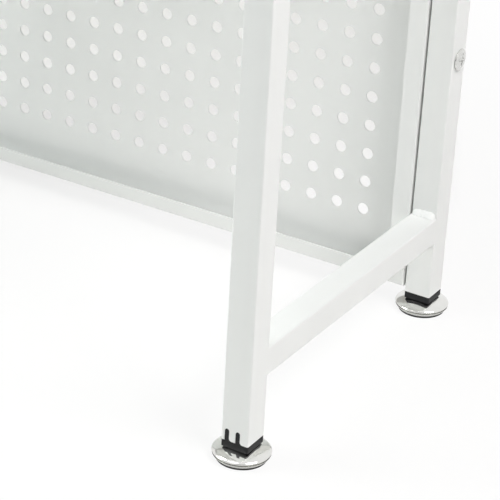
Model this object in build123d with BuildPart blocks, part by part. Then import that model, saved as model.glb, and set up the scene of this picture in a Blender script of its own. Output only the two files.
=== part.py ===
"""Desktop hutch of white steel: two welded square-tube side frames, a boxed perforated back panel,
two folded shelves and four screw-adjusted levelling feet. Millimetres, +X right, +Y back, +Z up,
origin on the desk under the middle of the hutch."""
import os
from math import sqrt

from build123d import *

# Driving dimensions

# Square tube of the side frames
tube = 20.5
tube_wall = 1.2
tube_corner = 1.2
least_inner_radius = 0.3

# Side frames, measured over the tubes
frame_width = 593.5
frame_depth = 279.5
leg_length = 641.8
bottom_rail_height = 44.75
weld_leg = 3.2
weld_crown = 2.7

# Folded sheet metal of the panel rims and the shelves
sheet_gauge = 1.0
bend_radius = 1.6
stand_off = 1.8

# Back panel
panel_lift = 3.0
panel_height = 361.0
side_strip = 14.5
end_strip = 12.0
back_flange = 10.0
sheet_edge_gap = 0.7
hole_across = 9.0
hole_sides = 8
hole_pitch = 22.7
least_hole_margin = 44.0

# Shelves
shelf_drop = 20.0
shelf_return = 20.0

# Connector bolts and rivet nuts
bolt_radius = 3.0
bolt_head_radius = 8.0
bolt_head_edge = 0.9
bolt_head_height = 4.2
bolt_engagement = 8.0
bolt_hole_gap = 0.3
thread_gap = 0.05
rivet_flange_radius = 6.5
rivet_sleeve_radius = 4.5
rivet_sleeve_length = 12.0
rivet_hole_gap = 0.1
panel_side_bolt_lift = 3.5
panel_top_bolt_spacing = 320.0

# Plastic plugs in the lower ends of the legs
collar_height = 5.0
step_height = 1.2
step_inset = 1.6
insert_length = 24.0
rib_height = 0.9
rib_width = 1.2
rib_spacing = 4.5
ribs_a_face = 3
plug_fit = 0.1
tongue_width = 3.1
tongue_height = 8.7
tongue_flare = 2.0
tongue_gap = 0.15
tongue_offsets = (-5.9, 2.3)
bush_radius = 5.5
bush_length = 12.0
bush_gap = 0.05

# Levelling feet
pad_radius = 17.2
pad_lip = 1.5
pad_spigot_radius = 16.3
pad_spigot = 0.9
spigot_gap = 0.3
dome_radius = 20.0
dome_lip_radius = 17.8
dome_skirt = 3.7
ridge_inset = 0.5
ridge_height = 0.5
dome_crown = 3.0
dome_neck_radius = 6.0
dome_bulge = 0.75
stop_gap = 0.3
stem_radius = 4.0
stem_length = 42.2
stem_gap = 0.4
stem_head_radius = 7.0
stem_head_height = 1.2
stem_head_gap = 0.2

# Caps on the tops of the legs
cap_head = 3.0
cap_edge = 0.8
cap_plug_depth = 5.5
cap_plug_wall = 1.5

# Heights above the desk
spigot_top = pad_lip + pad_spigot
ridge_bottom = pad_lip + dome_skirt
dome_top = ridge_bottom + ridge_height + dome_crown
step_bottom = dome_top + stop_gap
collar_bottom = step_bottom + step_height
leg_bottom = collar_bottom + collar_height
leg_top = leg_bottom + leg_length
bottom_rail_z = leg_bottom + bottom_rail_height + tube / 2
top_rail_z = leg_top - tube / 2
panel_bottom = leg_bottom + panel_lift
panel_top = panel_bottom + panel_height
panel_middle = panel_bottom + panel_height / 2
panel_bolt_z = panel_middle + panel_side_bolt_lift
shelf_tops = {"middle": panel_top + stand_off + shelf_drop, "top": leg_top}

# Places in plan
leg_x = frame_width / 2 - tube / 2
leg_y = frame_depth / 2 - tube / 2
inner_face_x = frame_width / 2 - tube
panel_width = 2 * (inner_face_x - stand_off)
panel_depth = tube
panel_front = frame_depth / 2 - panel_depth
sheet_back = panel_front + panel_depth - sheet_gauge
sheet_front = sheet_back - sheet_gauge
recess_middle = (panel_front + sheet_gauge + sheet_front) / 2
tube_inside = tube - 2 * tube_wall
inner_corner = max(tube_corner - tube_wall, least_inner_radius)
inner_bend = max(bend_radius - sheet_gauge, least_inner_radius)
sides = {"left": -1, "right": 1}
ends = {"front": -1, "rear": 1}
tolerance = 1e-6

os.makedirs("parts", exist_ok=True)


def save(piece, name):
    """Label a finished piece and write it as its own file."""
    piece.label = name
    export_step(piece, f"parts/{name}.step")


def group_of(piece, places):
    """Separate copies of one small piece, kept together as one group."""
    with BuildPart() as group:
        for place in places:
            add(piece.moved(place))
    return group.part


# Side frames


def square_tube(plane, length):
    """Square tube with rounded corners, standing on the given plane."""
    with BuildPart() as piece:
        with BuildSketch(plane):
            RectangleRounded(tube, tube, tube_corner)
            RectangleRounded(tube_inside, tube_inside, inner_corner, mode=Mode.SUBTRACT)
        extrude(amount=length)
    return piece.part


def outward_face(side, end):
    """Front face of a front leg or rear face of a rear leg, measured up from the leg's lower end."""
    origin = (side * leg_x, end * frame_depth / 2, leg_bottom)
    return Plane(origin=origin, x_dir=(-end, 0, 0), z_dir=(0, end, 0))


def tongue_outline(plane, grow):
    """Two round-topped tongues, each flaring on one side into a bar below. Grow widens them into slots."""
    width = tongue_width + 2 * grow
    shoulder = tongue_height + grow - width / 2
    bar = tube - 2 * tube_corner
    with BuildSketch(plane) as outline:
        with Locations((0, -collar_height / 2)):
            Rectangle(bar, collar_height)
        for across in tongue_offsets:
            with Locations((across, shoulder / 2)):
                Rectangle(width, shoulder)
            with Locations((across, shoulder)):
                Circle(width / 2)
        at_end = outline.vertices().filter_by_position(Axis.Y, -tolerance, tolerance)
        flared_sides = [across + width / 2 for across in tongue_offsets]
        roots = at_end.filter_by(lambda v: any(abs(v.X - side) < tolerance for side in flared_sides))
        fillet(roots, tongue_flare - grow)
    return outline.sketch


def make_leg(side, end):
    """Leg with bolt holes across it and two tongue slots in its outward face."""
    x = side * leg_x
    y = end * leg_y
    heights = [top - shelf_drop / 2 for top in shelf_tops.values()]
    if end > 0:
        heights.append(panel_bolt_z)
    with BuildPart() as leg:
        add(square_tube(Plane((x, y, leg_bottom)), leg_length))
        with BuildSketch(Plane.YZ.offset(x)):
            with Locations([(y, height) for height in heights]):
                Circle(bolt_radius + bolt_hole_gap)
        extrude(amount=tube, both=True, mode=Mode.SUBTRACT)
        extrude(tongue_outline(outward_face(side, end), tongue_gap), amount=-tube_wall, mode=Mode.SUBTRACT)
    return leg.part


for side_name, side in sides.items():
    for end_name, end in ends.items():
        save(make_leg(side, end), f"leg_{end_name}_{side_name}")
    for level_name, height in {"bottom": bottom_rail_z, "top": top_rail_z}.items():
        start = Plane((side * leg_x, -leg_y + tube / 2, height), x_dir=(1, 0, 0), z_dir=(0, 1, 0))
        save(square_tube(start, 2 * leg_y - tube), f"rail_{level_name}_{side_name}")


# Weld beads: a convex fillet across the rail in each corner between rail and leg


crest = (weld_crown / sqrt(2), weld_crown / sqrt(2))
with BuildPart() as bead:
    with BuildSketch(Plane.YZ):
        with BuildLine():
            Line((0, 0), (weld_leg, 0))
            ThreePointArc((weld_leg, 0), crest, (0, weld_leg))
            Line((0, weld_leg), (0, 0))
        make_face()
    extrude(amount=tube / 2 - tube_corner, both=True)

bead_places = []
for side in sides.values():
    for end in ends.values():
        leg_face = end * (leg_y - tube / 2)
        turn = 180 if end > 0 else 0
        over = Location((side * leg_x, leg_face, bottom_rail_z + tube / 2), (0, 0, turn))
        under = Location((0, 0, 0), (0, 180, 0))
        bead_places.append(over)
        for height in (bottom_rail_z, top_rail_z):
            bead_places.append(Location((side * leg_x, leg_face, height - tube / 2), (0, 0, turn)) * under)
save(group_of(bead.part, bead_places), "weld_beads")


# Back panel: mitred channel rims round a perforated sheet


def make_rim(corner_plane, length, strip, next_strip):
    """Folded channel with a front return, a wall and a back flange, mitred at both ends."""
    with BuildPart() as rim:
        with BuildSketch(corner_plane) as section:
            with BuildLine():
                Polyline(
                    (0, 0),
                    (panel_depth, 0),
                    (panel_depth, back_flange),
                    (panel_depth - sheet_gauge, back_flange),
                    (panel_depth - sheet_gauge, sheet_gauge),
                    (sheet_gauge, sheet_gauge),
                    (sheet_gauge, strip),
                    (0, strip),
                    close=True,
                )
            make_face()
            outer_corners = section.vertices().group_by(Axis.Y)[0]
            inner_corners = section.vertices().group_by(Axis.Y)[1]
            fillet(outer_corners, bend_radius)
            fillet(inner_corners, inner_bend)
        extrude(amount=length)
        along = corner_plane.z_dir
        inward = corner_plane.y_dir
        far = corner_plane.origin + along * length
        near_cut = Plane(origin=corner_plane.origin, z_dir=along * strip - inward * next_strip)
        far_cut = Plane(origin=far, z_dir=along * -strip - inward * next_strip)
        split(bisect_by=near_cut, keep=Keep.TOP)
        split(bisect_by=far_cut, keep=Keep.TOP)
    return rim.part


half_panel = panel_width / 2
rim_bottom = make_rim(
    Plane((-half_panel, panel_front, panel_bottom), x_dir=(0, 1, 0), z_dir=(1, 0, 0)),
    panel_width, end_strip, side_strip,
)
save(rim_bottom, "panel_rim_bottom")

with BuildPart() as rim_top:
    add(make_rim(
        Plane((half_panel, panel_front, panel_top), x_dir=(0, 1, 0), z_dir=(-1, 0, 0)),
        panel_width, end_strip, side_strip,
    ))
    with BuildSketch(Plane.XY.offset(panel_top)):
        with Locations((0, recess_middle)):
            with GridLocations(panel_top_bolt_spacing, 0, 2, 1):
                Circle(bolt_radius + bolt_hole_gap)
    extrude(amount=-2 * sheet_gauge, mode=Mode.SUBTRACT)
save(rim_top.part, "panel_rim_top")

rim_corners = {
    "left": Plane((-half_panel, panel_front, panel_top), x_dir=(0, 1, 0), z_dir=(0, 0, -1)),
    "right": Plane((half_panel, panel_front, panel_bottom), x_dir=(0, 1, 0), z_dir=(0, 0, 1)),
}
for side_name, corner_plane in rim_corners.items():
    with BuildPart() as rim_side:
        add(make_rim(corner_plane, panel_height, side_strip, end_strip))
        with BuildSketch(Plane.YZ.offset(sides[side_name] * half_panel)):
            with Locations((leg_y, panel_bolt_z)):
                Circle(rivet_sleeve_radius + rivet_hole_gap)
        extrude(amount=2 * sheet_gauge, both=True, mode=Mode.SUBTRACT)
    save(rim_side.part, f"panel_rim_{side_name}")

sheet_inset = sheet_gauge + sheet_edge_gap
columns = int((panel_width - 2 * least_hole_margin) / hole_pitch) + 1
rows = int((panel_height - 2 * least_hole_margin) / hole_pitch) + 1
with BuildPart() as panel_sheet:
    with BuildSketch(Plane((0, sheet_back, panel_middle), x_dir=(1, 0, 0), z_dir=(0, -1, 0))):
        Rectangle(panel_width - 2 * sheet_inset, panel_height - 2 * sheet_inset)
        with GridLocations(hole_pitch, hole_pitch, columns, rows):
            RegularPolygon(hole_across / 2, hole_sides, major_radius=False, mode=Mode.SUBTRACT)
    extrude(amount=sheet_gauge)
save(panel_sheet.part, "panel_sheet")


# Shelves: folded trays that open downwards, with returns round their lower edge


def make_shelf(top):
    """Shelf tray with rivet holes in its end walls, one beside each leg."""
    low = top - shelf_drop
    width = panel_width
    with BuildPart() as shelf:
        with BuildSketch(Plane.XY.offset(low)):
            Rectangle(width, frame_depth)
        extrude(amount=shelf_drop)
        fillet(shelf.faces().sort_by(Axis.Z)[-1].edges(), bend_radius)
        offset(amount=-sheet_gauge, openings=shelf.faces().sort_by(Axis.Z)[0])
        with BuildSketch(Plane.XY.offset(low)):
            Rectangle(width, frame_depth)
            Rectangle(width - 2 * shelf_return, frame_depth - 2 * shelf_return, mode=Mode.SUBTRACT)
        extrude(amount=sheet_gauge)
        with BuildSketch(Plane.YZ):
            with Locations((0, top - shelf_drop / 2)):
                with GridLocations(2 * leg_y, 0, 2, 1):
                    Circle(rivet_sleeve_radius + rivet_hole_gap)
        extrude(amount=width, both=True, mode=Mode.SUBTRACT)
    return shelf.part


save(make_shelf(shelf_tops["top"]), "shelf_top")

with BuildPart() as shelf_middle:
    add(make_shelf(shelf_tops["middle"]))
    with BuildSketch(Plane.XY.offset(shelf_tops["middle"] - shelf_drop)):
        with Locations((0, recess_middle)):
            with GridLocations(panel_top_bolt_spacing, 0, 2, 1):
                Circle(rivet_sleeve_radius + rivet_hole_gap)
    extrude(amount=2 * sheet_gauge, mode=Mode.SUBTRACT)
save(shelf_middle.part, "shelf_middle")


# Connector bolts and rivet nuts


def make_bolt(grip):
    """Truss-head bolt, its head above its seat at zero and its shank down through the grip into a nut."""
    rise = bolt_head_height - bolt_head_edge
    crown_radius = (bolt_head_radius**2 + rise**2) / (2 * rise)
    tip = -grip - bolt_engagement
    with BuildPart() as bolt:
        with BuildSketch(Plane.XZ):
            with BuildLine():
                crown = (0, bolt_head_height)
                head_edge = (bolt_head_radius, bolt_head_edge)
                seat_edge = (bolt_head_radius, 0)
                Polyline(crown, (0, tip), (bolt_radius, tip), (bolt_radius, 0), seat_edge, head_edge)
                RadiusArc(head_edge, crown, -crown_radius)
            make_face()
        revolve(axis=Axis.Z)
    return bolt.part


with BuildPart() as rivet_nut:
    with BuildSketch():
        Circle(rivet_flange_radius)
    extrude(amount=stand_off)
    with BuildSketch():
        Circle(rivet_sleeve_radius)
    extrude(amount=-rivet_sleeve_length)
    with BuildSketch(Plane.XY.offset(stand_off)):
        Circle(bolt_radius + thread_gap)
    extrude(amount=-stand_off - rivet_sleeve_length, mode=Mode.SUBTRACT)

side_bolt = make_bolt(tube + stand_off)
top_bolt = make_bolt(sheet_gauge + stand_off)


def outward(side, y, z, x):
    """Place on a side face, with the piece's own Z pointing outwards."""
    return Location((side * x, y, z), (0, 90 * side, 0))


for shelf_name, top in shelf_tops.items():
    spots = [(side, end * leg_y, top - shelf_drop / 2) for side in sides.values() for end in ends.values()]
    bolts = [outward(*spot, frame_width / 2) for spot in spots]
    nuts = [outward(*spot, half_panel) for spot in spots]
    save(group_of(side_bolt, bolts), f"shelf_{shelf_name}_bolts")
    save(group_of(rivet_nut.part, nuts), f"shelf_{shelf_name}_nuts")

spots = [(side, leg_y, panel_bolt_z) for side in sides.values()]
save(group_of(side_bolt, [outward(*spot, frame_width / 2) for spot in spots]), "panel_side_bolts")
save(group_of(rivet_nut.part, [outward(*spot, half_panel) for spot in spots]), "panel_side_nuts")

head_down = (180, 0, 0)
top_xs = [side * panel_top_bolt_spacing / 2 for side in sides.values()]
bolt_seat = panel_top - sheet_gauge
nut_seat = panel_top + stand_off
top_bolts = [Location((x, recess_middle, bolt_seat), head_down) for x in top_xs]
top_nuts = [Location((x, recess_middle, nut_seat), head_down) for x in top_xs]
save(group_of(top_bolt, top_bolts), "panel_top_bolts")
save(group_of(rivet_nut.part, top_nuts), "panel_top_nuts")


# Caps on the leg tops


def make_cap(x, y):
    """Square cap with a chamfered head and a hollow plug that drops into the tube."""
    plug_size = tube_inside - 2 * plug_fit
    with BuildPart() as cap:
        with BuildSketch(Plane((x, y, leg_top))):
            RectangleRounded(tube, tube, tube_corner)
        extrude(amount=cap_head)
        chamfer(cap.faces().sort_by(Axis.Z)[-1].edges(), cap_edge)
        with BuildSketch(Plane((x, y, leg_top))):
            RectangleRounded(plug_size, plug_size, inner_corner)
            Rectangle(plug_size - 2 * cap_plug_wall, plug_size - 2 * cap_plug_wall, mode=Mode.SUBTRACT)
        extrude(amount=-cap_plug_depth)
    return cap.part


# Levelling feet


def make_plug(side, end):
    """Tube plug: collar, step below it, ribbed insert inside the tube and tongues in the leg's slots."""
    x = side * leg_x
    y = end * leg_y
    core = tube_inside - 2 * plug_fit - 2 * rib_height
    step = tube - 2 * step_inset
    with BuildPart() as plug:
        with BuildSketch(Plane((x, y, collar_bottom))):
            RectangleRounded(tube, tube, tube_corner)
        extrude(amount=collar_height)
        with BuildSketch(Plane((x, y, collar_bottom))):
            RectangleRounded(step, step, inner_corner)
        extrude(amount=-step_height)
        with BuildSketch(Plane((x, y, leg_bottom))):
            RectangleRounded(core, core, inner_corner)
            with PolarLocations(core / 2, 4):
                with GridLocations(0, rib_spacing, 1, ribs_a_face):
                    Rectangle(2 * rib_height, rib_width)
        extrude(amount=insert_length)
        extrude(tongue_outline(outward_face(side, end), 0), amount=-tube_wall)
        with BuildSketch(Plane((x, y, leg_bottom + insert_length))):
            Circle(bush_radius + bush_gap)
        extrude(amount=-bush_length, mode=Mode.SUBTRACT)
        with BuildSketch(Plane((x, y, step_bottom))):
            Circle(stem_radius + stem_gap)
        extrude(amount=step_height + collar_height + insert_length, mode=Mode.SUBTRACT)
    return plug.part


with BuildPart() as bush:
    with BuildSketch(Plane.XY.offset(leg_bottom + insert_length)):
        Circle(bush_radius)
        Circle(stem_radius + thread_gap, mode=Mode.SUBTRACT)
    extrude(amount=-bush_length)

with BuildPart() as pad:
    with BuildSketch():
        Circle(pad_radius)
    extrude(amount=pad_lip)
    with BuildSketch(Plane.XY.offset(pad_lip)):
        Circle(pad_spigot_radius)
    extrude(amount=pad_spigot)

head_top = spigot_top + stem_head_gap + stem_head_height
with BuildPart() as dome:
    with BuildSketch(Plane.XZ):
        with BuildLine():
            shoulder = (dome_radius - ridge_inset, ridge_bottom + ridge_height)
            neck = (dome_neck_radius, dome_top)
            swell = ((shoulder[0] + neck[0]) / 2, (shoulder[1] + neck[1]) / 2 + dome_bulge)
            inside = pad_spigot_radius + spigot_gap
            bore = stem_radius + thread_gap
            pocket = stem_head_radius + spigot_gap
            ThreePointArc(shoulder, swell, neck)
            Polyline(neck, (bore, dome_top), (bore, head_top), (pocket, head_top), (pocket, spigot_top),
                     (inside, spigot_top), (inside, pad_lip), (dome_lip_radius, pad_lip),
                     (dome_radius, ridge_bottom), shoulder)
        make_face()
    revolve(axis=Axis.Z)

with BuildPart() as stem:
    with BuildSketch(Plane.XY.offset(head_top)):
        Circle(stem_head_radius)
    extrude(amount=-stem_head_height)
    with BuildSketch(Plane.XY.offset(head_top)):
        Circle(stem_radius)
    extrude(amount=stem_length)

for side_name, side in sides.items():
    for end_name, end in ends.items():
        corner = f"{end_name}_{side_name}"
        place = Location((side * leg_x, end * leg_y, 0))
        save(make_cap(side * leg_x, end * leg_y), f"cap_{corner}")
        save(make_plug(side, end), f"plug_{corner}")
        save(bush.part.moved(place), f"bush_{corner}")
        save(stem.part.moved(place), f"stem_{corner}")
        save(dome.part.moved(place), f"dome_{corner}")
        save(pad.part.moved(place), f"pad_{corner}")
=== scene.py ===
"""Looks of a white steel desktop hutch, laid out as a Blender add-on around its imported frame.

Metres, +X right, +Y back, +Z up. The tubes, folds, trays, caps, nuts, bushes and pads are the frame's own
solids with finishes added. The punched sheet, welds, bolts, tube plugs, chromed domes and threaded stems are
modelled here."""
import math
import random

import bmesh
import bpy
from mathutils import Matrix, Vector


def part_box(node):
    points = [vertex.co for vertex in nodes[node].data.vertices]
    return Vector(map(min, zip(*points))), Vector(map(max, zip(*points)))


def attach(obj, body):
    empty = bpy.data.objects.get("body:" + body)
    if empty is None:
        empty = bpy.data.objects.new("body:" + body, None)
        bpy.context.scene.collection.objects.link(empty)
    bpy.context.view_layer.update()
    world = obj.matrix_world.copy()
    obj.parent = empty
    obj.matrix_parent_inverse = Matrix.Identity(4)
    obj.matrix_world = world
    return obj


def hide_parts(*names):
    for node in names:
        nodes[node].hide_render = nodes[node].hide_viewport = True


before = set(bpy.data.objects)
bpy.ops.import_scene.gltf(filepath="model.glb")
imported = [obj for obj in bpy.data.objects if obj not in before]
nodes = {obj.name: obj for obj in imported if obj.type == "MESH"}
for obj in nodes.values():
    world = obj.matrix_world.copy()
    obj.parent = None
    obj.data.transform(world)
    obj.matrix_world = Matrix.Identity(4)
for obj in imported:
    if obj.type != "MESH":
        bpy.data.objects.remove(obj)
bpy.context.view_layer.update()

bl_info = {
    "name": "Desktop Hutch",
    "version": (1, 0, 0),
    "blender": (4, 5, 0),
    "location": "View3D > Sidebar > Hutch",
    "description": "Dresses the frame of a white steel desktop hutch",
    "category": "Object",
}

SIDES = {"left": -1, "right": 1}
ENDS = {"front": -1, "rear": 1}
CORNERS = [f"{end}_{side}" for end in ENDS for side in SIDES]
SIDE_BOLTS = ("panel_side_bolts", "shelf_middle_bolts", "shelf_top_bolts")
UNDER_BOLTS = ("panel_top_bolts",)
MILLIMETRE = 0.001
MERGE = 1e-6

# Steepest angles, in degrees, across which each piece is shaded smooth
SEAM_ANGLE = 40
SHEET_ANGLE = 60
SCREW_ANGLE = 50
PLUG_ANGLE = 35
FOOT_ANGLE = 40

# Welds: fill, bow, hollow and lumps are shares of the bead's size, and lag of its ripples' pitch
BEAD_STEPS = 44
BEAD_SIDES = 8
BEAD_FILL = 0.86
BEAD_LEAST = 0.2 * MILLIMETRE
BEAD_SUNK = 0.3 * MILLIMETRE
BEAD_LAG = 0.25
BEAD_BOW = 0.94
BEAD_HOLLOW = 0.15
BEAD_END_POWER = 6
LUMP_COUNT = 4
LUMP_HEIGHTS = (0.02, 0.10)
LUMP_WIDTH = 0.10
SEAM_STEPS = 6

# Bolts: the rim's rounding is steps in from its radius and up from its seat, in millimetres
BOLT_SEED = 308
BOLT_SEGMENTS = 96
BOLT_IN_NUT = 6.2 * MILLIMETRE
RIM_ROUNDING = ((0.8, 0.0), (0.2, 0.3), (0.0, 0.7))
RIM_BLEND = 0.2 * MILLIMETRE
CROWN_RINGS = (0.99, 0.95, 0.88, 0.80, 0.72, 0.64, 0.57)
RECESS_RINGS = 22
RECESS_BORDER = 3
RECESS_BLUR = 0.3 * MILLIMETRE
RECESS_TAPER = 0.35
RECESS_SLOPE = 0.75

# Levelling feet: the thread's profile is shares of its pitch and of its depth
STEM_HEAD = 1.2 * MILLIMETRE
STEM_SEGMENTS = 48
THREAD_SEGMENTS = 24
THREAD_PROFILE = ((0.0, 0.0), (0.12, 0.0), (0.50, 1.0), (0.62, 1.0))
DOME_SEGMENTS = 96
LIP_STEPS = 5
SKIRT_STEPS = 14
SCORED_STEPS = (3, 10)
EDGE_STEPS = 8
CROWN_STEPS = 30

# Finishes: the middle part of noise, which is spread, and how much finer gloss varies than colour
NOISE_LOW = 0.3
NOISE_HIGH = 0.7
GLOSS_FINER = 3

# Stage: each dark card has its place, its half width and half height, and its turn in degrees
SENSOR_WIDTH = 36
FLOOR_HALF = 30
SKY_AXIS = (0, -0.87, 0.5)
CARD_SHADE = (0.02, 0.02, 0.02, 1)
DARK_CARDS = {
    "dark_card_right": ((1.5, -2.6, 0.75), (1.2, 0.65), 30),
    "dark_card_left": ((-0.85, -2.4, 0.35), (0.8, 0.35), -27),
}


def length(name, description, millimetres):
    """A length property, given in millimetres and kept in metres."""
    return bpy.props.FloatProperty(
        name=name,
        description=description,
        default=millimetres * MILLIMETRE,
        min=0,
        precision=5,
        subtype="DISTANCE",
        unit="LENGTH",
    )


def colour(name, description, value):
    """A colour property in linear light."""
    return bpy.props.FloatVectorProperty(
        name=name, description=description, default=value, min=0, max=1, size=3, subtype="COLOR"
    )


def share(name, description, value, most=1.0):
    """A plain number property."""
    return bpy.props.FloatProperty(
        name=name, description=description, default=value, min=0, max=most, precision=4
    )


def count(name, description, value):
    """A whole-number property."""
    return bpy.props.IntProperty(name=name, description=description, default=value, min=1)


def angle(name, description, degrees):
    """An angle property, given in degrees."""
    return bpy.props.FloatProperty(
        name=name, description=description, default=math.radians(degrees), subtype="ANGLE", unit="ROTATION"
    )


def spot(name, description, value):
    """A place in metres."""
    return bpy.props.FloatVectorProperty(
        name=name,
        description=description,
        default=value,
        size=3,
        precision=5,
        subtype="TRANSLATION",
        unit="LENGTH",
    )


class HutchSizes(bpy.types.PropertyGroup):
    """Sizes of the pieces that are modelled here."""

    tube_corner: length("Tube corner", "Outer corner radius of the square tube", 1.2)
    hole_diameter: length("Hole diameter", "Diameter of the holes in the sheet", 9.0)
    hole_pitch: length("Hole pitch", "Spacing of the holes both ways", 22.7)
    hole_margin: length("Hole margin", "Least distance from the panel's edge to a hole's centre", 44.0)
    hole_segments: count("Hole segments", "Sides of each hole, a multiple of eight", 24)
    hole_edge: length("Hole edge", "Rounding that the punch and the coat leave on each hole's edge", 0.22)
    weld_leg: length("Weld leg", "Width of a weld bead along the rail", 5.2)
    weld_ripple: share("Weld ripple", "Depth of the ripples along a bead, as a share of its size", 0.03)
    weld_ripple_pitch: length("Weld ripple pitch", "Spacing of the ripples along a bead", 4.2)
    bolt_head_radius: length("Bolt head radius", "Radius of the truss head", 8.0)
    bolt_head_edge: length("Bolt head edge", "Height of the head's rim", 1.5)
    bolt_head_height: length("Bolt head height", "Height of the head's crown over its seat", 2.8)
    bolt_radius: length("Bolt radius", "Radius of the shank", 3.0)
    recess_radius: length("Recess radius", "Reach of the cross recess from the head's middle", 4.6)
    recess_width: length("Recess width", "Half width of each wing of the cross recess", 1.0)
    recess_depth: length("Recess depth", "Depth of the cross recess in the middle", 2.3)
    dome_edge: length("Dome edge", "Rounding of the dome's widest part, down to the crease", 0.9)
    dome_tuck: length("Dome tuck", "How far the crease lies inside the dome's widest part", 0.3)
    dome_lip: length("Dome lip", "Rounding under the dome's skirt", 0.35)
    dome_lip_radius: length("Dome lip radius", "Radius of the skirt at its lower edge", 17.8)
    dome_skirt_swell: length("Dome skirt swell", "How far the skirt bows out of a straight taper", 0.35)
    dome_score: length("Dome score", "Depth of the fine line pressed round the skirt", 0.12)
    dome_crease: length("Dome crease", "Depth of the open crease under the dome's widest part", 1.4)
    dome_crease_gap: length("Dome crease gap", "Height of the open crease", 0.95)
    dome_ridge: length("Dome ridge", "Height of the dome's widest part over its lower edge", 4.2)
    dome_neck: length("Dome neck", "Radius of the flat on the dome's top", 8.5)
    dome_rise: length("Dome rise", "How far the crown rises over the frame's plain dome, up to the plug", 1.3)
    dome_bore: length("Dome bore", "Radius of the dome's bore round the stem", 4.05)
    dome_pocket: length("Dome pocket", "Radius of the pocket for the stem's head", 7.3)
    dome_skirt: length("Dome skirt", "Inner radius of the skirt round the pad's spigot", 16.6)
    dome_crown: share("Dome crown", "Power of the crown's curve, fuller when larger", 1.1, 10)
    dome_shoulder: share("Dome shoulder", "Power of the crown's edge, rounder when smaller", 0.55)
    thread_pitch: length("Thread pitch", "Pitch of the stem's thread", 1.25)
    thread_depth: length("Thread depth", "Depth of the stem's thread", 0.62)
    thread_radius: length("Thread radius", "Outer radius of the stem's thread", 3.95)


class HutchColours(bpy.types.PropertyGroup):
    """Colours of the finishes."""

    coat: colour("Powder coat", "White of the powder-coated steel", (0.86, 0.862, 0.852))
    zinc: colour("Zinc", "Plated bolts, nuts, bushes and stems", (0.70, 0.70, 0.68))
    chrome: colour("Chrome", "Plated domes of the feet", (0.78, 0.78, 0.755))
    # The skirt colour is painted shade: darker than the chrome to stand in for the shaded floor that the
    # skirts reflect.
    skirt: colour("Skirt", "Duller plate of the domes' skirts", (0.60, 0.60, 0.575))
    plastic: colour("Plastic", "Black of the tube plugs and caps", (0.012, 0.012, 0.013))
    rubber: colour("Rubber", "Black of the base pads", (0.006, 0.006, 0.006))
    floor: colour("Floor", "Pale floor", (0.95, 0.93, 0.91))


class HutchStage(bpy.types.PropertyGroup):
    """Camera and light."""

    camera_place: spot("Camera place", "Where the camera stands", (0.85876, -1.1281, 0.71995))
    camera_azimuth: angle("Camera azimuth", "Turn of the view from straight ahead, to the right", 29.915)
    camera_elevation: angle("Camera elevation", "Height of the camera over the horizon", 26.306)
    camera_roll: angle("Camera roll", "Roll of the camera about its view", -3.245)
    camera_lens: share("Camera lens", "Focal length in millimetres on a 36 mm sensor", 148.3, 1000)
    sky_lean: share("Sky lean", "Soft light from high at the front", 0.12, 5)
    key_power: share("Key power", "Power of the large lamp over the right, in watts", 60.0, 1000)
    key_place: spot("Key place", "Middle of the large lamp", (1.9, -0.4, 2.2))
    key_aim: spot("Key aim", "What the large lamp points at", (0.3, 0.0, 0.1))
    key_size: length("Key size", "Diameter of the large lamp", 1500.0)
    fill_power: share("Fill power", "Power of the low lamp at the left front, in watts", 9.4, 1000)
    fill_place: spot("Fill place", "Middle of the low left lamp", (-1.0, -0.9, 0.6))
    fill_aim: spot("Fill aim", "What the low left lamp points at", (0.0, 0.0, 0.2))
    fill_size: length("Fill size", "Diameter of the left lamps and of the lamp high behind", 800.0)
    fill_tone: colour("Fill tone", "Cool tone of the left lamps", (0.935, 1.0, 0.985))
    high_power: share("High power", "Power of the high lamp at the left, in watts", 8.6, 1000)
    high_place: spot("High place", "Middle of the high left lamp", (-0.9, -0.6, 1.5))
    high_aim: spot("High aim", "What the high left lamp points at", (0.0, 0.0, 0.1))
    rear_power: share("Rear power", "Power of the low lamp behind the panel, in watts", 9.0, 1000)
    rear_place: spot("Rear place", "Middle of the low lamp behind", (-0.2, 2.2, 0.36))
    rear_size: length("Rear size", "Diameter of the low lamp behind", 700.0)
    rear_aim: spot("Rear aim", "What the low lamp behind points at", (0.0, 0.1, 0.25))
    band_power: share("Band power", "Power of the lamp that only gloss shows, in watts", 4.4, 1000)
    band_place: spot("Band place", "Middle of the lamp over the front", (0.0, -1.1, 1.95))
    band_aim: spot("Band aim", "What the lamp over the front points at", (0.28, 0.0, 0.0))
    band_size: length("Band size", "Diameter of the lamp over the front", 1100.0)
    back_power: share("Back power", "Power of the lamp high behind, in watts", 3.2, 1000)
    back_place: spot("Back place", "Middle of the lamp high behind", (-0.35, 0.8, 1.76))
    back_aim: spot("Back aim", "What the lamp high behind points at", (0.2, 0.1, 0.0))
    floor_white: share("Floor white", "Share of plain white in the seen floor near the object", 0.85)
    # Painted shade: behind the panel the floor's seen white is cut back in a round patch with a straight
    # right edge, placed where the hutch's shadow would lie, and inside it the floor shows its own lit tone,
    # real shadows included.
    shade_white: share("Shade white", "Share of that white left in the shade behind the panel", 0.12)
    shade_place: spot("Shade place", "Middle of the shade behind the panel", (-0.3, 0.75, 0.0))
    shade_from: length("Shade from", "Radius at which that shade starts to fade", 320.0)
    shade_to: length("Shade to", "Radius at which that shade ends", 700.0)
    shade_turn: angle("Shade turn", "Turn of the straight right edge of that shade", 26.0)
    shade_edge: length("Shade edge", "How far right of the middle that edge starts to fade", 270.0)
    shade_clear: length("Shade clear", "How far right of the middle that edge ends", 345.0)
    white_from: length("White from", "Distance at which the seen floor starts to whiten", 350.0)
    white_to: length("White to", "Distance at which the seen floor is plain white", 900.0)


# Nodes and finishes


def empty_tree(owner):
    """Node tree of a material or a world, with nothing in it yet."""
    owner.use_nodes = True
    owner.node_tree.nodes.clear()
    return owner.node_tree


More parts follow.
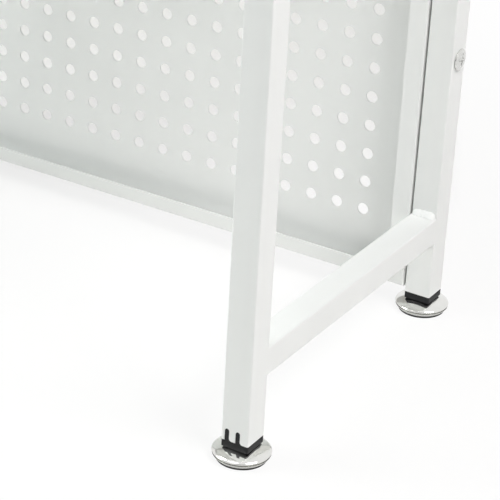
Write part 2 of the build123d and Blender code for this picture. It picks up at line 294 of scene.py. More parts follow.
def material(name):
    """New material with its surface shader and its output."""
    made = bpy.data.materials.new(name)
    tree = empty_tree(made)
    shader = tree.nodes.new("ShaderNodeBsdfPrincipled")
    output = tree.nodes.new("ShaderNodeOutputMaterial")
    tree.links.new(shader.outputs["BSDF"], output.inputs["Surface"])
    return made, tree, shader


def noise(tree, scale, detail=3.0, roughness=0.5):
    """Noise in the object's own metres, at so many waves a metre."""
    place = tree.nodes.new("ShaderNodeTexCoord")
    texture = tree.nodes.new("ShaderNodeTexNoise")
    texture.inputs["Scale"].default_value = scale
    texture.inputs["Detail"].default_value = detail
    texture.inputs["Roughness"].default_value = roughness
    tree.links.new(place.outputs["Object"], texture.inputs["Vector"])
    return texture.outputs["Fac"]


def spread(tree, source, low, high, start=NOISE_LOW, end=NOISE_HIGH):
    """What lies between a start and an end, by default those of noise, spread between two numbers."""
    node = tree.nodes.new("ShaderNodeMapRange")
    node.inputs["From Min"].default_value = start
    node.inputs["From Max"].default_value = end
    node.inputs["To Min"].default_value = low
    node.inputs["To Max"].default_value = high
    tree.links.new(source, node.inputs["Value"])
    return node.outputs["Result"]


def tint(tree, source, base, change):
    """Noise spread between a darker and a lighter form of one colour."""
    ramp = tree.nodes.new("ShaderNodeValToRGB")
    dark, light = ramp.color_ramp.elements
    dark.position = NOISE_LOW
    light.position = NOISE_HIGH
    dark.color = [*(c * (1 - change) for c in base), 1]
    light.color = [*(min(1, c * (1 + change)) for c in base), 1]
    tree.links.new(source, ramp.inputs["Fac"])
    return ramp.outputs["Color"]


def bump(tree, source, strength, distance):
    """Bump from noise."""
    node = tree.nodes.new("ShaderNodeBump")
    node.inputs["Strength"].default_value = strength
    node.inputs["Distance"].default_value = distance
    tree.links.new(source, node.inputs["Height"])
    return node.outputs["Normal"]


def finish(name, base, change, grain, rough, relief, metallic=0.0, shine=0.5):
    """Finish of one colour with mottling, uneven gloss and a fine relief. Grain is the waves a metre
    of mottling and relief, rough the two ends of roughness, and relief its strength and depth."""
    made, tree, shader = material(name)
    mottle, fine = grain
    shader.inputs["Metallic"].default_value = metallic
    shader.inputs["Specular IOR Level"].default_value = shine
    tree.links.new(tint(tree, noise(tree, mottle), base, change), shader.inputs["Base Color"])
    tree.links.new(spread(tree, noise(tree, GLOSS_FINER * mottle), *rough), shader.inputs["Roughness"])
    tree.links.new(bump(tree, noise(tree, fine), *relief), shader.inputs["Normal"])
    return made


def powder_coat():
    """White powder coat with a faint orange peel."""
    base = bpy.context.scene.hutch_colours.coat
    return finish(
        "powder_coat",
        base,
        change=0.012,
        grain=(14, 750),
        rough=(0.36, 0.46),
        relief=(0.10, 0.00008),
    )


def zinc_plate():
    """Bright zinc plate with a soft uneven gloss."""
    base = bpy.context.scene.hutch_colours.zinc
    return finish(
        "zinc_plate",
        base,
        change=0.08,
        grain=(160, 2600),
        rough=(0.16, 0.30),
        relief=(0.08, 0.00003),
        metallic=1.0,
    )


def chrome_plate():
    """Chrome plate over pressed steel, a little wavy."""
    base = bpy.context.scene.hutch_colours.chrome
    return finish(
        "chrome_plate",
        base,
        change=0.03,
        grain=(60, 210),
        rough=(0.05, 0.10),
        relief=(0.08, 0.0004),
        metallic=1.0,
    )


def painted_shade_skirt_plate():
    """Duller, rougher plate of the domes' skirts, with a darker colour that is painted shade: it stands in
    for the shaded floor the skirts reflect.
    """
    base = bpy.context.scene.hutch_colours.skirt
    return finish(
        "painted_shade_skirt_plate",
        base,
        change=0.05,
        grain=(60, 900),
        rough=(0.18, 0.28),
        relief=(0.10, 0.0001),
        metallic=1.0,
    )


def moulded_plastic():
    """Black moulded plastic with a fine grain."""
    base = bpy.context.scene.hutch_colours.plastic
    return finish(
        "moulded_plastic",
        base,
        change=0.25,
        grain=(240, 2800),
        rough=(0.42, 0.58),
        relief=(0.35, 0.0001),
        shine=0.25,
    )


def pad_rubber():
    """Black rubber, dull and grained."""
    base = bpy.context.scene.hutch_colours.rubber
    return finish(
        "pad_rubber",
        base,
        change=0.25,
        grain=(200, 2200),
        rough=(0.66, 0.82),
        relief=(0.35, 0.00008),
        shine=0.1,
    )


def kept(make):
    """A finish made once and shared by every piece that has it."""
    found = bpy.data.materials.get(make.__name__)
    return found or make()


def dress(names, make):
    """Give frame nodes a finish."""
    surface = kept(make)
    for name in names:
        slots = nodes[name].data.materials
        slots.clear()
        slots.append(surface)


def middle(name):
    """Middle of a frame node's box."""
    low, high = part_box(name)
    return (low + high) / 2


def piece(name, bm, make, body, replaced=()):
    """Turn a bmesh into a smooth-shaded piece with a finish, riding on a body of the frame."""
    bmesh.ops.recalc_face_normals(bm, faces=bm.faces)
    mesh = bpy.data.meshes.new(name)
    bm.to_mesh(mesh)
    bm.free()
    mesh.shade_smooth()
    mesh.materials.append(kept(make))
    made = bpy.data.objects.new(name, mesh)
    bpy.context.scene.collection.objects.link(made)
    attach(made, body)
    if replaced:
        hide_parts(*replaced)
    return made


def keep_flats(made, degrees):
    """Keep edges sharper than an angle as hard edges, and flat faces flat."""
    made.data.set_sharp_from_angle(angle=math.radians(degrees))
    weighted = made.modifiers.new("weighted_normals", "WEIGHTED_NORMAL")
    weighted.keep_sharp = True


def lathe(bm, outline, segments, place=Matrix()):
    """Turn an outline of (radius, height) points about Z. A radius of zero closes that end."""
    rings = []
    turn = [math.tau * i / segments for i in range(segments)]
    for radius, height in outline:
        if radius == 0:
            rings.append([bm.verts.new(place @ Vector((0, 0, height)))])
            continue
        points = [Vector((radius * math.cos(t), radius * math.sin(t), height)) for t in turn]
        rings.append([bm.verts.new(place @ point) for point in points])
    for below, above in zip(rings, rings[1:]):
        bridge(bm, below, above)


def bridge(bm, below, above):
    """Faces between two rings of points. A ring of one point closes the other ring."""
    size = max(len(below), len(above))
    for i in range(size):
        j = (i + 1) % size
        if len(below) == 1:
            bm.faces.new((below[0], above[i], above[j]))
        elif len(above) == 1:
            bm.faces.new((below[i], below[j], above[0]))
        else:
            bm.faces.new((below[i], below[j], above[j], above[i]))


def arc(centre, radius, start, end, steps):
    """Points on an arc in the outline's plane, angles in degrees."""
    turn = [math.radians(start + (end - start) * i / steps) for i in range(steps + 1)]
    return [(centre[0] + radius * math.cos(t), centre[1] + radius * math.sin(t)) for t in turn]


# Side frames


def weld_bead(bm, place, width, sizes, seed):
    """One weld bead in the corner between a leg and a rail: X along it, Y along the rail, Z up the leg."""
    draw = random.Random(seed)
    phase = draw.uniform(0, math.tau)
    lumps = [(draw.uniform(-0.5, 0.5) * width, draw.uniform(*LUMP_HEIGHTS)) for _ in range(LUMP_COUNT)]
    lag = BEAD_LAG * sizes.weld_ripple_pitch
    root = Vector((0, -BEAD_SUNK, -BEAD_SUNK))
    rows = []
    for i in range(BEAD_STEPS + 1):
        along = (i / BEAD_STEPS - 0.5) * width
        wave = math.sin(math.tau * along / sizes.weld_ripple_pitch + phase)
        swell = sum(rise * math.exp(-((along - at) / (LUMP_WIDTH * width)) ** 2) for at, rise in lumps)
        end = math.sqrt(max(0.0, 1 - abs(2 * i / BEAD_STEPS - 1) ** BEAD_END_POWER))
        size = sizes.weld_leg * (BEAD_FILL + sizes.weld_ripple * wave + swell) * end + BEAD_LEAST
        row = [bm.verts.new(place @ (root + Vector((along, 0, 0))))]
        for j in range(BEAD_SIDES + 1):
            turn = math.pi / 2 * j / BEAD_SIDES
            reach = (BEAD_BOW - BEAD_HOLLOW * math.sin(2 * turn)) * size
            shift = lag * math.sin(2 * turn) * end
            at = root + Vector((along + shift, reach * math.cos(turn), reach * math.sin(turn)))
            row.append(bm.verts.new(place @ at))
        rows.append(row)
    for first, second in zip(rows, rows[1:]):
        bridge(bm, first, second)
    for row in (rows[0], rows[-1]):
        bm.faces.new(row)


def ground_seam(bm, corner, out, away, low, high, radius):
    """Weld ground flush where a rail's flat side meets a leg's round edge: a spandrel from low to high.
    Corner is where the two flat faces would meet, out points off the flat face, away along the rail."""
    centre = corner - radius * out - radius * away
    outline = []
    for i in range(SEAM_STEPS + 1):
        turn = math.pi / 2 * i / SEAM_STEPS
        outline.append(centre + radius * (math.cos(turn) * away + math.sin(turn) * out))
    outline.append(corner)
    rings = []
    for height in (low, high):
        rings.append([bm.verts.new((point.x, point.y, height)) for point in outline])
    bridge(bm, *rings)
    for ring in rings:
        bm.faces.new(ring)


class HUTCH_OT_side_frames(bpy.types.Operator):
    """Coat the legs and rails, and lay their welds"""

    bl_idname = "hutch.side_frames"
    bl_label = "Side frames"

    def execute(self, context):
        sizes = context.scene.hutch_sizes
        rails = [f"rail_{level}_{side}" for level in ("bottom", "top") for side in SIDES]
        dress([f"leg_{corner}" for corner in CORNERS] + rails, powder_coat)
        beads = bmesh.new()
        seams = bmesh.new()
        seed = 1
        for name in rails:
            low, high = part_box(name)
            across = high.x - low.x - 2 * sizes.tube_corner
            for end in ENDS.values():
                face_y = high.y if end > 0 else low.y
                turn = Matrix.Rotation(math.pi if end > 0 else 0, 4, "Z")
                heights = {high.z: Matrix(), low.z: Matrix.Rotation(math.pi, 4, "Y")}
                for height, flip in heights.items():
                    if "top" in name and height == high.z:
                        continue
                    place = Matrix.Translation((middle(name).x, face_y, height)) @ turn @ flip
                    weld_bead(beads, place, across, sizes, seed)
                    seed += 1
                for out in (-1, 1):
                    face_x = high.x if out > 0 else low.x
                    ground_seam(
                        seams,
                        Vector((face_x, face_y, 0)),
                        Vector((out, 0, 0)),
                        Vector((0, -end, 0)),
                        low.z + sizes.tube_corner / 2,
                        high.z - sizes.tube_corner / 2,
                        sizes.tube_corner,
                    )
        piece("welds", beads, powder_coat, "frame", ["weld_beads"])
        keep_flats(piece("ground_seams", seams, powder_coat, "frame"), SEAM_ANGLE)
        return {"FINISHED"}


# Back panel


def hole_ring(bm, centre, sizes):
    """One square cell of the sheet with its round hole, in the sheet's front plane."""
    half = sizes.hole_pitch / 2
    hole = []
    rim = []
    for i in range(sizes.hole_segments):
        turn = math.tau * i / sizes.hole_segments
        ray = Vector((math.cos(turn), 0, math.sin(turn)))
        hole.append(bm.verts.new(centre + ray * sizes.hole_diameter / 2))
        rim.append(bm.verts.new(centre + ray * half / max(abs(ray.x), abs(ray.z))))
    bridge(bm, rim, hole)


def sheet_margin(bm, inner, outer, y):
    """Flat border round the cells, out to the sheet's edge. Inner and outer are (x, z) corner pairs."""
    bmesh.ops.remove_doubles(bm, verts=bm.verts, dist=MERGE)
    for edge in [e for e in bm.edges if e.is_boundary]:
        points = [v.co.copy() for v in edge.verts]
        for axis, low, high in ((0, inner[0][0], inner[1][0]), (2, inner[0][1], inner[1][1])):
            for limit, reach in ((low, outer[0][axis // 2]), (high, outer[1][axis // 2])):
                if all(abs(point[axis] - limit) < MERGE for point in points):
                    moved = []
                    for point in points:
                        far = point.copy()
                        far[axis] = reach
                        moved.append(bm.verts.new(far))
                    bm.faces.new((*edge.verts, moved[1], moved[0]))
    for i in (0, 1):
        for j in (0, 1):
            xs = (inner[i][0], outer[i][0])
            zs = (inner[j][1], outer[j][1])
            square = [(xs[0], zs[0]), (xs[1], zs[0]), (xs[1], zs[1]), (xs[0], zs[1])]
            bm.faces.new([bm.verts.new((x, y, z)) for x, z in square])
    bmesh.ops.remove_doubles(bm, verts=bm.verts, dist=MERGE)


class HUTCH_OT_back_panel(bpy.types.Operator):
    """Coat the panel's rims and punch its sheet with round holes"""

    bl_idname = "hutch.back_panel"
    bl_label = "Back panel"

    def execute(self, context):
        sizes = context.scene.hutch_sizes
        dress([f"panel_rim_{edge}" for edge in ("bottom", "top", "left", "right")], powder_coat)
        low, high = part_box("panel_sheet")
        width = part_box("panel_rim_bottom")[1].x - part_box("panel_rim_bottom")[0].x
        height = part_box("panel_rim_left")[1].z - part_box("panel_rim_left")[0].z
        columns = int((width - 2 * sizes.hole_margin) / sizes.hole_pitch) + 1
        rows = int((height - 2 * sizes.hole_margin) / sizes.hole_pitch) + 1
        centre = middle("panel_sheet")
        reach = Vector((columns, 0, rows)) * sizes.hole_pitch / 2
        bm = bmesh.new()
        for i in range(columns):
            for j in range(rows):
                step = Vector((i - (columns - 1) / 2, 0, j - (rows - 1) / 2)) * sizes.hole_pitch
                hole_ring(bm, Vector((centre.x, low.y, centre.z)) + step, sizes)
        inner = [(c.x, c.z) for c in (centre - reach, centre + reach)]
        sheet_margin(bm, inner, [(low.x, low.z), (high.x, high.z)], low.y)
        for face in bm.faces:
            face.normal_update()
            if face.normal.y > 0:
                face.normal_flip()
        sheet = piece("punched_sheet", bm, powder_coat, "frame", ["panel_sheet"])
        thick = sheet.modifiers.new("gauge", "SOLIDIFY")
        thick.thickness = high.y - low.y
        thick.offset = -1
        edge = sheet.modifiers.new("punched_edge", "BEVEL")
        edge.width = sizes.hole_edge
        edge.segments = 2
        edge.limit_method = "ANGLE"
        keep_flats(sheet, SHEET_ANGLE)
        return {"FINISHED"}


# Shelves and caps


class HUTCH_OT_shelves(bpy.types.Operator):
    """Coat the two shelf trays"""

    bl_idname = "hutch.shelves"
    bl_label = "Shelves"

    def execute(self, context):
        dress(["shelf_middle", "shelf_top"], powder_coat)
        return {"FINISHED"}


class HUTCH_OT_leg_caps(bpy.types.Operator):
    """Finish the caps on the leg tops"""

    bl_idname = "hutch.leg_caps"
    bl_label = "Leg caps"

    def execute(self, context):
        dress([f"cap_{corner}" for corner in CORNERS], moulded_plastic)
        return {"FINISHED"}


# Bolts and nuts


def soft_step(value, edge, blur):
    """One below an edge and zero above it, with a blurred edge."""
    t = min(1.0, max(0.0, (edge + blur / 2 - value) / blur))
    return t * t * (3 - 2 * t)


def recess(x, y, sizes):
    """Depth of the cross recess at a point of the head."""
    long_way = max(abs(x), abs(y))
    short_way = min(abs(x), abs(y))
    out = min(1.0, long_way / sizes.recess_radius)
    wing = soft_step(short_way, sizes.recess_width * (1 - RECESS_TAPER * out), RECESS_BLUR)
    reach = soft_step(long_way, sizes.recess_radius, RECESS_BLUR)
    return wing * reach * sizes.recess_depth * (1 - RECESS_SLOPE * out)


def bolt(bm, place, tip, sizes):
    """Truss-head bolt with a cross recess. Its seat is at zero and its shank ends at the tip."""
    rim = sizes.bolt_head_radius
    rise = sizes.bolt_head_height - sizes.bolt_head_edge
    sphere = (rim**2 + rise**2) / (2 * rise)
    drop = sphere - sizes.bolt_head_height
    outline = [(0, tip), (sizes.bolt_radius, tip), (sizes.bolt_radius, 0)]
    outline += [(rim - inward * MILLIMETRE, upward * MILLIMETRE) for inward, upward in RIM_ROUNDING]
    outline.append((rim, sizes.bolt_head_edge - RIM_BLEND))
    radii = [rim * part for part in CROWN_RINGS]
    rings = range(RECESS_RINGS + RECESS_BORDER, 0, -1)
    radii += [sizes.recess_radius * i / RECESS_RINGS for i in rings]
    outline += [(r, math.sqrt(sphere**2 - r**2) - drop) for r in radii]
    outline.append((0, sizes.bolt_head_height))
    head = bmesh.new()
    lathe(head, outline, BOLT_SEGMENTS)
    for vert in head.verts:
        if vert.co.z > sizes.bolt_head_edge:
            vert.co.z -= recess(vert.co.x, vert.co.y, sizes)
    head.transform(place)
    copy_in(bm, head)


def copy_in(bm, other):
    """Add another bmesh's geometry to this one, and free it."""
    mesh = bpy.data.meshes.new("copy")
    other.to_mesh(mesh)
    other.free()
    bm.from_mesh(mesh)
    bpy.data.meshes.remove(mesh)


def ends_of(low, high, reach):
    """Where pieces of a given half size stand along one side of a box: at both ends, or in the middle
    of a side that is too short for two."""
    if high - low > 3 * reach:
        return [low + reach, high - reach]
    return [(low + high) / 2]


def screws(name, bm):
    """One piece from all the screws of a group of bolts."""
    made = piece(name.replace("bolts", "screws"), bm, zinc_plate, "frame", [name])
    keep_flats(made, SCREW_ANGLE)


class HUTCH_OT_fasteners(bpy.types.Operator):
    """Model the bolts and plate the rivet nuts"""

    bl_idname = "hutch.fasteners"
    bl_label = "Bolts and nuts"

    def execute(self, context):
        sizes = context.scene.hutch_sizes
        dress([name.replace("bolts", "nuts") for name in SIDE_BOLTS + UNDER_BOLTS], zinc_plate)
        reach = sizes.bolt_head_radius
        draw = random.Random(BOLT_SEED)
        leg_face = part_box("leg_rear_right")[1].x
        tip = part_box("panel_rim_right")[1].x - leg_face - BOLT_IN_NUT
        for name in SIDE_BOLTS:
            low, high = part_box(name)
            bm = bmesh.new()
            for side in SIDES.values():
                for y in ends_of(low.y, high.y, reach):
                    spin = Matrix.Rotation(draw.uniform(0, math.tau), 4, "Z")
                    turn = Matrix.Rotation(side * math.pi / 2, 4, "Y")
                    place = Matrix.Translation((side * leg_face, y, middle(name).z))
                    bolt(bm, place @ turn @ spin, tip, sizes)
            screws(name, bm)
        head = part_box(SIDE_BOLTS[0])[1].x - leg_face
        turn = Matrix.Rotation(math.pi, 4, "X")
        for name in UNDER_BOLTS:
            low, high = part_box(name)
            bm = bmesh.new()
            seat = low.z + head
            for x in ends_of(low.x, high.x, reach):
                spin = Matrix.Rotation(draw.uniform(0, math.tau), 4, "Z")
                place = Matrix.Translation((x, middle(name).y, seat))
                bolt(bm, place @ turn @ spin, seat - high.z, sizes)
            screws(name, bm)
        return {"FINISHED"}


# Levelling feet


def flat_plug(corner):
    """Tube plug from the frame's own plug, with the low step under its collar pressed flat."""
    bm = bmesh.new()
    bm.from_mesh(nodes[f"plug_{corner}"].data)
    foot = min(vert.co.z for vert in bm.verts)
    collar = min(vert.co.z for vert in bm.verts if vert.co.z > foot + MERGE)
    for vert in bm.verts:
        vert.co.z = max(vert.co.z, collar)
    bmesh.ops.remove_doubles(bm, verts=bm.verts, dist=MERGE)
    bmesh.ops.dissolve_degenerate(bm, dist=MERGE, edges=bm.edges)
    return bm


class HUTCH_OT_tube_plugs(bpy.types.Operator):
    """Model the tube plugs and finish their threaded bushes"""

    bl_idname = "hutch.tube_plugs"
    bl_label = "Tube plugs"

    def execute(self, context):
        for corner in CORNERS:
            made = piece(
                f"tube_plug_{corner}",
                flat_plug(corner),
                moulded_plastic,
                "frame",
                [f"plug_{corner}"],
            )
            keep_flats(made, PLUG_ANGLE)
        dress([f"bush_{corner}" for corner in CORNERS], zinc_plate)
        return {"FINISHED"}


def tuck_angle(sizes):
    """Angle of the rounding from the dome's widest part down to its crease."""
    return math.acos(1 - sizes.dome_tuck / sizes.dome_edge)


def crease_point(corner, sizes):
    """Radius and height of the upper edge of a dome's crease."""
    low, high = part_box(f"dome_{corner}")
    wide = low.z + sizes.dome_ridge
    return (high.x - low.x) / 2 - sizes.dome_tuck, wide - sizes.dome_edge * math.sin(tuck_angle(sizes))


def dome_outline(corner, sizes):
    """Closed outline of a chromed dome: bore, pocket, scored skirt, crease, widest part and crown."""
    low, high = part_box(f"dome_{corner}")
    radius = (high.x - low.x) / 2
    spigot_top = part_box(f"pad_{corner}")[1].z
    head_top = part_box(f"stem_{corner}")[0].z + STEM_HEAD
    edge = sizes.dome_edge
    lip = sizes.dome_lip
    lip_radius = sizes.dome_lip_radius
    wide = low.z + sizes.dome_ridge
    top = high.z + sizes.dome_rise
    inside = [(sizes.dome_bore, top), (sizes.dome_bore, head_top), (sizes.dome_pocket, head_top)]
    inside += [(sizes.dome_pocket, spigot_top), (sizes.dome_skirt, spigot_top), (sizes.dome_skirt, low.z)]
    foot = low.z + lip
    skirt = arc((lip_radius - lip, foot), lip, -90, 0, LIP_STEPS)
    crease, crease_top = crease_point(corner, sizes)
    crease_foot = crease_top - sizes.dome_crease_gap
    for i in range(1, SKIRT_STEPS):
        t = i / SKIRT_STEPS
        bow = sizes.dome_skirt_swell * 4 * t * (1 - t)
        groove = sizes.dome_score if i in SCORED_STEPS else 0
        at = lip_radius + (crease - lip_radius) * t + bow - groove
        skirt.append((at, foot + (crease_foot - foot) * t))
    deep = crease - sizes.dome_crease
    skirt += [(crease, crease_foot), (deep, crease_foot), (deep, crease_top)]
    skirt += arc((radius - edge, wide), edge, -math.degrees(tuck_angle(sizes)), 0, EDGE_STEPS)
    for i in range(1, CROWN_STEPS + 1):
        out = 1 - (i / CROWN_STEPS) ** 2
        at = sizes.dome_neck + (radius - sizes.dome_neck) * out
        skirt.append((at, wide + (top - wide) * (1 - out**sizes.dome_crown) ** sizes.dome_shoulder))
    return inside + skirt + inside[:1]


def threaded_rod(bm, low, high, centre, sizes):
    """Rod with a helical thread that runs out at both ends."""
    root = sizes.thread_radius - sizes.thread_depth
    turns = math.ceil((high - low) / sizes.thread_pitch)
    rows = []
    for turn in range(-1, turns + 1):
        for at, rise in THREAD_PROFILE:
            row = []
            for i in range(THREAD_SEGMENTS + 1):
                spin = i / THREAD_SEGMENTS
                height = low + sizes.thread_pitch * (turn + at + spin)
                height = min(high, max(low, height))
                run_out = min(1.0, min(height - low, high - height) / sizes.thread_pitch)
                radius = root + sizes.thread_depth * rise * run_out
                theta = math.tau * spin
                point = Vector((radius * math.cos(theta), radius * math.sin(theta), height))
                row.append(bm.verts.new(centre + point))
            rows.append(row)
    for below, above in zip(rows, rows[1:]):
        for i in range(THREAD_SEGMENTS):
            bm.faces.new((below[i], below[i + 1], above[i + 1], above[i]))
    bmesh.ops.remove_doubles(bm, verts=bm.verts, dist=MERGE)
    bmesh.ops.dissolve_degenerate(bm, dist=MERGE, edges=bm.edges)
    bmesh.ops.holes_fill(bm, edges=[e for e in bm.edges if e.is_boundary])


class HUTCH_OT_levelling_feet(bpy.types.Operator):
    """Model the chromed domes and threaded stems, and finish the base pads"""

    bl_idname = "hutch.levelling_feet"
    bl_label = "Levelling feet"

    def execute(self, context):
        sizes = context.scene.hutch_sizes
        dress([f"pad_{corner}" for corner in CORNERS], pad_rubber)
        for corner in CORNERS:
            body = f"foot_screw_{corner}"
            centre = middle(f"dome_{corner}")
            centre.z = 0
            place = Matrix.Translation(centre)
            dome = bmesh.new()
            lathe(dome, dome_outline(corner, sizes), DOME_SEGMENTS, place)
            bmesh.ops.remove_doubles(dome, verts=dome.verts, dist=MERGE)
            made = piece(f"foot_dome_{corner}", dome, chrome_plate, body, [f"dome_{corner}"])
            keep_flats(made, FOOT_ANGLE)
            # Faces below the crease get the darker skirt plate, which is painted shade of the floor they
            # reflect.
            made.data.materials.append(kept(painted_shade_skirt_plate))
            crease_top = crease_point(corner, sizes)[1]
            for face in made.data.polygons:
                face.material_index = int(face.center.z < crease_top)
            low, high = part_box(f"stem_{corner}")
            radius = (high.x - low.x) / 2
            stem = bmesh.new()
            threaded_rod(stem, low.z + STEM_HEAD / 2, high.z, centre, sizes)
            head = [(0, low.z), (radius, low.z), (radius, low.z + STEM_HEAD), (0, low.z + STEM_HEAD)]
            lathe(stem, head, STEM_SEGMENTS, place)
            made = piece(f"foot_stem_{corner}", stem, zinc_plate, body, [f"stem_{corner}"])
            keep_flats(made, FOOT_ANGLE)
        return {"FINISHED"}


# Stage


def combine(tree, operation, first, second):
    """Two values put together by a math node. The second may be a plain number."""
    node = tree.nodes.new("ShaderNodeMath")
    node.operation = operation
    tree.links.new(first, node.inputs[0])
    if isinstance(second, bpy.types.NodeSocket):
        tree.links.new(second, node.inputs[1])
    else:
        node.inputs[1].default_value = second
    return node.outputs["Value"]


def measure(tree, operation, coordinates, vector):
    """One number from the coordinates of a place and a fixed vector."""
    place = tree.nodes.new("ShaderNodeTexCoord")
    node = tree.nodes.new("ShaderNodeVectorMath")
    node.operation = operation
    node.inputs[1].default_value = vector
    tree.links.new(place.outputs[coordinates], node.inputs[0])
    return node.outputs["Value"]


def blend_shaders(tree, output, factor, first, second):
    """Surface that goes from one shader to another with a factor."""
    mix = tree.nodes.new("ShaderNodeMixShader")
    end = tree.nodes.new(output)
    tree.links.new(factor, mix.inputs["Fac"])
    tree.links.new(first, mix.inputs[1])
    tree.links.new(second, mix.inputs[2])
    tree.links.new(mix.outputs["Shader"], end.inputs["Surface"])


def fade_out(tree, centre, start, end, inner):
    """A share that rises to one between two distances from a place on the floor."""
    return spread(tree, measure(tree, "DISTANCE", "Object", centre), inner, 1, start, end)


def right_of(tree, turn, start, end):
    """A share that rises from zero to one across a straight edge on the floor."""
    across = (math.cos(turn), math.sin(turn), 0)
    return spread(tree, measure(tree, "DOT_PRODUCT", "Object", across), 0, 1, start, end)


def seen_rays(tree):
    """One for rays from the camera, reflections and transmission, and zero for the rest."""
    path = tree.nodes.new("ShaderNodeLightPath")
    total = path.outputs["Is Camera Ray"]
    for name in ("Is Glossy Ray", "Is Transmission Ray"):
        total = combine(tree, "MAXIMUM", total, path.outputs[name])
    return total


def floor_surface(colours, stage):
    """Pale floor that keeps shadows, seen by the camera and in reflections with a share of plain white.
    Behind the panel that white is cut back in a painted shade patch, round with a straight right edge, where
    the floor's own lit tone shows.
    """
    made = bpy.data.materials.new("floor")
    tree = empty_tree(made)
    pale = tree.nodes.new("ShaderNodeBsdfDiffuse")
    pale.inputs["Color"].default_value = (*colours.floor, 1)
    white = tree.nodes.new("ShaderNodeEmission")
    white.inputs["Strength"].default_value = 1
    near = fade_out(tree, (0, 0, 0), stage.white_from, stage.white_to, stage.floor_white)
    # Painted shade patch behind the panel, round with a straight right edge, where less white is mixed in.
    shade = fade_out(tree, stage.shade_place, stage.shade_from, stage.shade_to, stage.shade_white)
    beside = right_of(tree, stage.shade_turn, stage.shade_edge, stage.shade_clear)
    whiteness = combine(tree, "MULTIPLY", near, combine(tree, "MAXIMUM", shade, beside))
    factor = combine(tree, "MULTIPLY", seen_rays(tree), whiteness)
    output = "ShaderNodeOutputMaterial"
    blend_shaders(tree, output, factor, pale.outputs["BSDF"], white.outputs["Emission"])
    return made


def soft_sky(stage):
    """World of soft light from high at the front, white where it is seen."""
    world = bpy.data.worlds.new("soft_sky")
    bpy.context.scene.world = world
    tree = empty_tree(world)
    ahead = combine(tree, "MAXIMUM", measure(tree, "DOT_PRODUCT", "Generated", SKY_AXIS), 0)
    light = tree.nodes.new("ShaderNodeBackground")
    light.inputs["Color"].default_value = (*stage.fill_tone, 1)
    tree.links.new(combine(tree, "MULTIPLY", ahead, stage.sky_lean), light.inputs["Strength"])
    white = tree.nodes.new("ShaderNodeBackground")
    white.inputs["Color"].default_value = (1, 1, 1, 1)
    white.inputs["Strength"].default_value = 1
    output = "ShaderNodeOutputWorld"
    blend_shaders(tree, output, seen_rays(tree), light.outputs["Background"], white.outputs["Background"])


def lamp(name, place, aim, size, power, tone=(1, 1, 1), mirrored=True, lights=True):
    """Large soft lamp that points at a place. It may be kept out of gloss, or off matt surfaces."""
    data = bpy.data.lights.new(name, "AREA")
    data.shape = "DISK"
    data.size = size
    data.energy = power
    data.color = tone
    made = bpy.data.objects.new(name, data)
    made.location = place
    made.rotation_euler = (aim - place).to_track_quat("-Z", "Y").to_euler()
    made.visible_glossy = mirrored
    made.visible_diffuse = lights
    bpy.context.scene.collection.objects.link(made)


def flat_square(name, half, surface):
    """Flat square of a given half size with one material, linked to the scene."""
    bm = bmesh.new()
    bmesh.ops.create_grid(bm, x_segments=1, y_segments=1, size=half)
    mesh = bpy.data.meshes.new(name)
    bm.to_mesh(mesh)
    bm.free()
    mesh.materials.append(surface)
    made = bpy.data.objects.new(name, mesh)
    bpy.context.scene.collection.objects.link(made)
    return made


def dark_card(name, place, half, turn):
    """Upright dark card that only reflections see, as the dark side of a studio."""
    dark, _, shader = material(name)
    shader.inputs["Base Color"].default_value = CARD_SHADE
    shader.inputs["Roughness"].default_value = 1
    made = flat_square(name, 1, dark)
    made.location = place
    made.scale = (*half, 1)
    made.rotation_euler = (math.radians(90), 0, math.radians(turn))
    made.visible_camera = False
    made.visible_diffuse = False
    made.visible_transmission = False
    made.visible_shadow = False


def photo_camera(stage):
    """Camera at the photograph's place, with its lens and roll."""
    data = bpy.data.cameras.new("camera")
    data.sensor_width = SENSOR_WIDTH
    data.lens = stage.camera_lens
    made = bpy.data.objects.new("camera", data)
    bpy.context.scene.collection.objects.link(made)
    azimuth = stage.camera_azimuth
    elevation = stage.camera_elevation
    flat = math.cos(elevation)
    ahead = Vector((-math.sin(azimuth) * flat, math.cos(azimuth) * flat, -math.sin(elevation)))
    level = ahead.to_track_quat("-Z", "Y").to_matrix().to_4x4()
    roll = Matrix.Rotation(-stage.camera_roll, 4, "Z")
    made.matrix_world = Matrix.Translation(stage.camera_place) @ level @ roll
    bpy.context.scene.camera = made


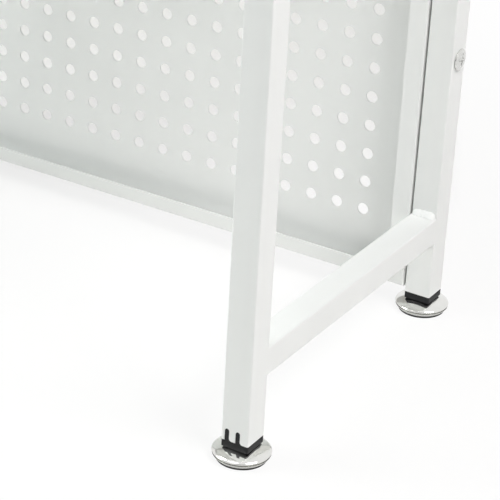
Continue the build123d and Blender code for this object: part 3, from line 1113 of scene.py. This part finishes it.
class HUTCH_OT_stage(bpy.types.Operator):
    """Set the floor, the light and the camera"""

    bl_idname = "hutch.stage"
    bl_label = "Stage"

    def execute(self, context):
        scene = context.scene
        stage = scene.hutch_stage
        scene.view_settings.view_transform = "Standard"
        floor = flat_square("floor", FLOOR_HALF, floor_surface(scene.hutch_colours, stage))
        soft_sky(stage)
        for name, (place, half, turn) in DARK_CARDS.items():
            dark_card(name, place, half, turn)
        lamp("key_lamp", stage.key_place, stage.key_aim, stage.key_size, stage.key_power)
        cool = stage.fill_tone
        lamp("fill_lamp", stage.fill_place, stage.fill_aim, stage.fill_size, stage.fill_power, cool)
        lamp("high_lamp", stage.high_place, stage.high_aim, stage.fill_size, stage.high_power, cool)
        lamp("back_lamp", stage.back_place, stage.back_aim, stage.fill_size, stage.back_power)
        lamp("band_lamp", stage.band_place, stage.band_aim, stage.band_size, stage.band_power, lights=False)
        lamp("rear_lamp", stage.rear_place, stage.rear_aim, stage.rear_size, stage.rear_power, mirrored=False)
        photo_camera(stage)
        return {"FINISHED"}


class HUTCH_PT_sidebar(bpy.types.Panel):
    """Sizes, colours, stage and the steps that dress the hutch"""

    bl_idname = "HUTCH_PT_sidebar"
    bl_label = "Desktop Hutch"
    bl_space_type = "VIEW_3D"
    bl_region_type = "UI"
    bl_category = "Hutch"

    def draw(self, context):
        layout = self.layout
        for step in STEPS:
            layout.operator(step.bl_idname)
        for group in (context.scene.hutch_sizes, context.scene.hutch_colours, context.scene.hutch_stage):
            box = layout.box()
            for name in group.bl_rna.properties.keys():
                if name not in ("rna_type", "name"):
                    box.prop(group, name)


STEPS = (
    HUTCH_OT_side_frames,
    HUTCH_OT_back_panel,
    HUTCH_OT_shelves,
    HUTCH_OT_leg_caps,
    HUTCH_OT_fasteners,
    HUTCH_OT_tube_plugs,
    HUTCH_OT_levelling_feet,
    HUTCH_OT_stage,
)
GROUPS = {"hutch_sizes": HutchSizes, "hutch_colours": HutchColours, "hutch_stage": HutchStage}
CLASSES = (*GROUPS.values(), *STEPS, HUTCH_PT_sidebar)


def register():
    for item in CLASSES:
        bpy.utils.register_class(item)
    for name, group in GROUPS.items():
        setattr(bpy.types.Scene, name, bpy.props.PointerProperty(type=group))


def unregister():
    for name in GROUPS:
        delattr(bpy.types.Scene, name)
    for item in reversed(CLASSES):
        bpy.utils.unregister_class(item)


def main():
    register()
    bpy.ops.hutch.side_frames()
    bpy.ops.hutch.back_panel()
    bpy.ops.hutch.shelves()
    bpy.ops.hutch.leg_caps()
    bpy.ops.hutch.fasteners()
    bpy.ops.hutch.tube_plugs()
    bpy.ops.hutch.levelling_feet()
    bpy.ops.hutch.stage()


if __name__ == "__main__":
    main()
